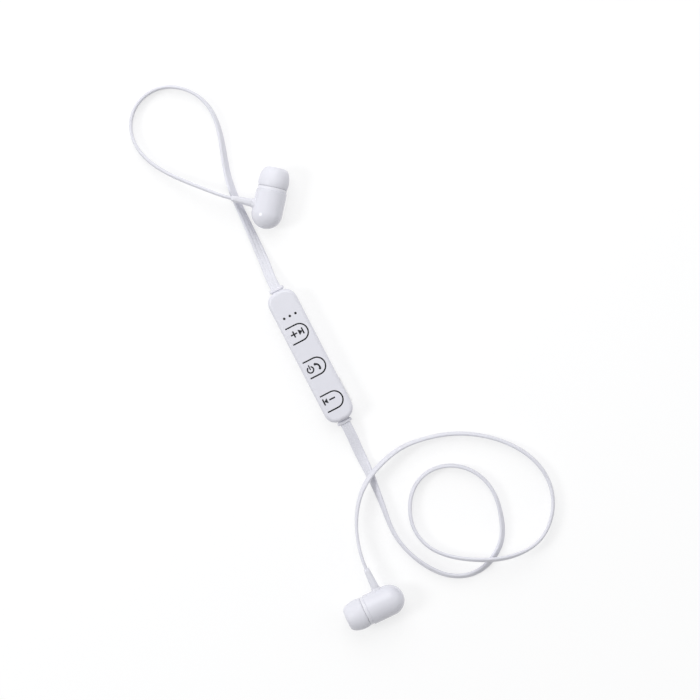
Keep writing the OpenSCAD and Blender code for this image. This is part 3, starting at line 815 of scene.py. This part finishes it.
def plus(x, y, size, w):
    s, t = size / 2, w / 2
    corners = [(s, -t), (s, t), (t, t), (t, s), (-t, s), (-t, t),
               (-s, t), (-s, -t), (-t, -t), (-t, -s), (t, -s), (t, -t)]
    return [(x + a, y + b) for a, b in corners]


def triangle(x, y, w, h):
    """A triangle whose point is w to the right of its upright edge, or to the left if w < 0."""
    corners = fillet([(0, -h / 2, 0.1), (w, 0, 0.1), (0, h / 2, 0.1)], 2)
    return [(x + p.x, y + p.y) for p in corners]


def stroke(path, widths):
    """A line with round ends, along points, with a half width at each."""
    path = [Vector(p) for p in path]
    left, right = [], []
    for i, (point, half) in enumerate(zip(path, widths)):
        along = (path[min(i + 1, len(path) - 1)] - path[max(i - 1, 0)]).normalized()
        across = Vector((-along.y, along.x))
        left.append(point + across * half)
        right.append(point - across * half)

    def cap(point, side, half):
        turns = [Matrix.Rotation(-math.pi * k / 8, 2) for k in range(1, 8)]
        return [point + turn @ (side - point).normalized() * half for turn in turns]

    end = cap(path[-1], left[-1], widths[-1])
    start = cap(path[0], right[0], widths[0])
    return [*left, *end, *right[::-1], *start]


def bow(x, y, radius, start, end, steps=20):
    """Points round an arc, in degrees."""
    angles = [math.radians(start + (end - start) * k / steps) for k in range(steps + 1)]
    return [(x + radius * math.cos(a), y + radius * math.sin(a)) for a in angles]


def handset_widths(count):
    """Thick at both ends and thin between them."""
    return [0.33 + 0.18 * abs(2 * k / (count - 1) - 1) ** 4 for k in range(count)]


volume_up, call, volume_down = buttons
power = bow(-2.4, -0.25, 1.2, 128, 412)
handset = bow(-0.2, -0.57, 1.5, 80, -28)
print_on(volume_up,
         plus(-1.8, 0.2, 2.6, 0.56),
         triangle(0.12, 0.08, 1.6, 2.35),
         bar(1.85, 0.08, 0.56, 2.6))
print_on(call,
         stroke(power, [0.27] * len(power)),
         stroke([(-2.4, 1.5), (-2.4, -0.1)], [0.24, 0.24]),
         stroke(handset, handset_widths(len(handset))))
print_on(volume_down,
         bar(-3.54, 0.8, 0.56, 2.6),
         triangle(-2.0, 0.8, -1.4, 2.2),
         bar(-0.1, 0.72, 2.45, 0.58))


# ---- Earbuds ----

RIM_L = 1.3 * MM             # the ring between the shell and the ear tip, painted lighter as a painted highlight
BUD_WALL = 0.8 * MM


def dome(radius, low, steps=20):
    """A round end, from the axis out to the wall."""
    angles = [math.pi / 2 * k / steps for k in range(steps + 1)]
    return [(radius * math.sin(a), low + radius * (1 - math.cos(a))) for a in angles]


def make_rear_shell(bud):
    radius, length = bud.shell[1].x, bud.shell[1].z
    inner_r = radius - BUD_WALL
    outline = plain(dome(radius, 0)) + [(radius, length, 0.28 * MM), (inner_r, length, 0.1 * MM)]
    outline += plain(dome(inner_r, BUD_WALL)[::-1])
    piece = lathe(f"{bud.side}_shell", fillet(outline), bud.place, 128)
    dress(piece, GLOSS, "housing", "white_plastic", f"{bud.side}_rear_shell")


def nozzle_sizes(bud):
    """Radius and length, from the mount that the ear tip fits on."""
    dims = record_item("mounts", f"{bud.side}_nozzle")["dims"]
    return dims["r_mm"] * MM, dims["length_mm"] * MM


def make_front_cap(bud):
    """Rim, cone, nozzle and barb. The driver sits in its spigot, inside the shell."""
    edge = bud.shell[1].z
    rim_r, end = bud.cap[1].x, bud.cap[1].z
    spigot_low = bud.cap[0].z
    spigot_r = bud.shell[1].x - 0.85 * MM
    nozzle_r, nozzle_l = nozzle_sizes(bud)
    nozzle_z = end - nozzle_l
    barb_r = nozzle_r + 0.15 * MM
    bore_r = nozzle_r - BUD_WALL
    mesh_low, mesh_high = bud.box("nozzle_mesh")
    inner_r = spigot_r - BUD_WALL
    rim = [(rim_r, edge, 0.15 * MM), (rim_r, edge + RIM_L, 0.16 * MM)]
    cone = [(rim_r - BUD_WALL, edge + RIM_L, 0.2 * MM), (nozzle_r + 0.6 * MM, nozzle_z, 0.2 * MM)]
    nozzle = [(nozzle_r, nozzle_z, 0.1 * MM), (nozzle_r, end - 1.1 * MM, 0)]
    barb = [(barb_r, end - 0.9 * MM, 0.06 * MM), (barb_r, end - 0.5 * MM, 0.06 * MM)]
    mouth = [(nozzle_r, end, 0.15 * MM), (mesh_high.x, end, 0.05 * MM)]
    mesh_seat = [(mesh_high.x, mesh_low.z, 0), (bore_r, mesh_low.z, 0)]
    bore = [(bore_r, nozzle_z - 0.4 * MM, 0.3 * MM), (inner_r, edge + 0.4 * MM, 0.3 * MM)]
    outline = [(spigot_r, spigot_low, 0.1 * MM), (spigot_r, edge, 0), *rim, *cone, *nozzle, *barb,
               *mouth, *mesh_seat, *bore, (inner_r, spigot_low, 0.1 * MM)]
    piece = lathe(f"{bud.side}_cap", fillet(outline, 4), bud.place)
    # The cap's lighter plastic is a painted highlight on its rim band.
    dress(piece, HIGHLIGHT_PLASTIC, "housing", "white_plastic", f"{bud.side}_front_cap")


def make_ear_tip(bud):
    """A sleeve over the nozzle, rolled back at the front into a domed skirt."""
    wall = 0.5 * MM
    low, high, radius = bud.tip[0].z, bud.tip[1].z, bud.tip[1].x
    bore_r = nozzle_sizes(bud)[0] + 0.2 * MM
    sleeve_end = bud.cap[1].z - 4.1 * MM
    front_r = 3.3 * MM
    widest = low + 2 * MM
    pulled_in = 0.35 * MM

    def skin(depth, steps=20):
        """Outside of the skirt, moved in by depth, from the front to its edge."""
        points = []
        for k in range(steps + 1):
            a = math.pi / 2 * k / steps
            points.append((front_r + (radius - depth - front_r) * math.sin(a),
                           widest + (high - 2 * depth - widest) * math.cos(a)))
        for k in range(1, 8):
            s = k / 8
            points.append((radius - depth - pulled_in * s * s, widest + (low - widest) * s))
        return points

    edge = [(radius - pulled_in, low, 0.12 * MM), (radius - pulled_in - wall, low, 0.12 * MM)]
    sleeve = [(bore_r + wall, high - 1.6 * MM, 0), (bore_r + wall, sleeve_end, 0.15 * MM),
              (bore_r, sleeve_end, 0.15 * MM)]
    outline = [(bore_r, high, 0.3 * MM), *plain(skin(0)), *edge, *plain(skin(wall)[::-1]), *sleeve]
    piece = lathe(f"{bud.side}_tip", fillet(outline), bud.place)
    dress(piece, SILICONE, f"{bud.side}_ear_tip_body", "silicone", f"{bud.side}_ear_tip")


def make_strain_relief(bud):
    """A flange against the shell, then a boot that tapers down to the cable."""
    low, high = bud.relief
    root = Vector((high.y, (high.z - low.z) / 2))
    tip = Vector((2.3, 1.05)) * MM
    start = bud.shell[1].x - 0.9 * MM
    flange = bud.shell[1].x + 0.75 * MM
    boot_start = flange + 0.1 * MM
    boot_l = high.x - 0.25 * MM - flange
    profile = [(start, root, 0), (flange - 0.15 * MM, root, 0), (flange, root, 0.14 * MM)]
    neck = root.lerp(tip, 0.34)
    steps = 10
    for k in range(steps + 1):
        s = k / steps
        profile.append((boot_start + boot_l * s, neck.lerp(tip, s), 0))
    profile += [(high.x - 0.05 * MM, tip, 0.08 * MM), (high.x, tip, 0.25 * MM)]
    rings = []
    for x, half, inset in profile:
        corner = min(half.x, half.y) * 0.75 - inset / 2
        outline = rectangle(half.x - inset, half.y - inset, corner, 8)
        rings.append([bud.place @ Vector((x, p.x, bud.relief_at + p.y)) for p in outline])
    piece = loft(f"{bud.side}_boot", rings)
    dress(piece, RUBBER, "housing", "white_rubber", f"{bud.side}_strain_relief", angle=50)


for bud in BUDS.values():
    make_rear_shell(bud)
    make_front_cap(bud)
    make_ear_tip(bud)
    make_strain_relief(bud)


# ---- Finishes of the CAD nodes that stay ----

POD_INSIDE = {
    "circuit_board": BOARD, "bluetooth_chip": BLACK, "charging_chip": BLACK, "crystal": STEEL,
    "chip_antenna": CERAMIC, "status_led": CERAMIC, "microphone": STEEL, "microphone_gasket": FOAM,
    "usb_shell": STEEL, "usb_tongue": BLACK, "battery_cell": FOIL, "battery_tabs": STEEL,
    "battery_protection_board": BOARD, "foam_tape": FOAM,
}
UNDER_BUTTON = {"switch": STEEL, "plunger": BLACK}
BUD_INSIDE = {
    "nozzle_mesh": MESH, "driver_yoke": STEEL, "magnet": MAGNET, "pole_plate": STEEL,
    "driver_frame": BLACK, "diaphragm": MEMBRANE, "front_ring": BLACK, "damping_paper": FOAM,
}

inside = dict(POD_INSIDE)
for button in BUTTONS:
    inside.update({f"{button}_{part}": finish for part, finish in UNDER_BUTTON.items()})
for side in BUDS:
    inside.update({f"{side}_{part}": finish for part, finish in BUD_INSIDE.items()})

for name, finish in inside.items():
    node = frame["nodes"][name]
    node.data.materials.clear()
    node.data.materials.append(finish)


# ---- Floor and light ----

def in_picture(side, up):
    """A level direction, given in the picture's axes."""
    return Matrix.Rotation(VIEW_TURN, 3, "Z") @ Vector((side, up, 0))


def seen_directly(tree):
    """1 for the rays that show the background: the camera's, and glossy and transmission rays."""
    rays = tree.nodes.new("ShaderNodeLightPath")
    value = rays.outputs["Is Camera Ray"]
    for kind in ("Is Glossy Ray", "Is Transmission Ray"):
        larger = tree.nodes.new("ShaderNodeMath")
        larger.operation = "MAXIMUM"
        tree.links.new(value, larger.inputs[0])
        tree.links.new(rays.outputs[kind], larger.inputs[1])
        value = larger.outputs[0]
    return value


def scaled(tree, value, low, high, start=0):
    """The value, spread from low to high as it goes from start to 1."""
    made = tree.nodes.new("ShaderNodeMapRange")
    for socket, number in {"From Min": start, "From Max": 1, "To Min": low, "To Max": high}.items():
        made.inputs[socket].default_value = number
    tree.links.new(value, made.inputs["Value"])
    return made.outputs["Result"]


def make_floor(shade, seen_shade, glow):
    """Pale floor. Where it is seen, a glow and a darker shade keep it near white, with shadows."""
    size = 3
    corners = [(-size, -size, 0), (size, -size, 0), (size, size, 0), (-size, size, 0)]
    mesh = bpy.data.meshes.new("floor")
    mesh.from_pydata(corners, [], [(0, 1, 2, 3)])
    floor = link("floor", mesh)
    made = Finish("floor", (shade, shade, shade), 0.9)
    made.set("Specular IOR Level", 0)
    made.set("Emission Color", (1, 1, 1, 1))
    seen = seen_directly(made.tree)
    for socket, low, high in (("Base Color", shade, seen_shade), ("Emission Strength", 0, glow)):
        made.tree.links.new(scaled(made.tree, seen, low, high), made.shader.inputs[socket])
    mesh.materials.append(made.made)


def make_world(low, high, background):
    """Soft light from all round, stronger from the picture's top, with a white room behind it."""
    world = bpy.data.worlds.new("studio")
    world.use_nodes = True
    scene.world = world
    tree = world.node_tree
    shade = tree.nodes["Background"]
    shade.inputs["Color"].default_value = (0.98, 0.985, 1, 1)
    where = tree.nodes.new("ShaderNodeTexCoord")
    side = tree.nodes.new("ShaderNodeVectorMath")
    side.operation = "DOT_PRODUCT"
    side.inputs[1].default_value = in_picture(0.1, 0.99)
    tree.links.new(where.outputs["Generated"], side.inputs[0])
    soft = scaled(tree, side.outputs["Value"], low, high, start=-1)
    mix = tree.nodes.new("ShaderNodeMix")
    mix.inputs["B"].default_value = background
    tree.links.new(seen_directly(tree), mix.inputs["Factor"])
    tree.links.new(soft, mix.inputs["A"])
    tree.links.new(mix.outputs["Result"], shade.inputs["Strength"])


def make_lamp(name, side, up, elevation, distance, size, power):
    """A square lamp that points at the picture's middle; side and up are in the picture's axes."""
    level = in_picture(side, up).normalized()
    away = level * math.cos(math.radians(elevation)) + UP * math.sin(math.radians(elevation))
    data = bpy.data.lights.new(name, "AREA")
    data.size = size
    data.energy = power
    lamp = link(name, data)
    lamp.location = VIEW_CENTRE + away * distance
    lamp.rotation_euler = away.to_track_quat("Z", "Y").to_euler()


make_floor(shade=0.8, seen_shade=0.38, glow=0.66)
make_world(low=0.2, high=0.8, background=1.0)
make_lamp("key", side=-1, up=-0.1, elevation=42, distance=1.6, size=0.45, power=7.5)
make_lamp("top", side=-0.2, up=1, elevation=50, distance=0.6, size=0.5, power=1.2)
make_lamp("rim", side=1, up=0.35, elevation=30, distance=1.6, size=0.9, power=1.4)

scene.view_settings.view_transform = "Standard"
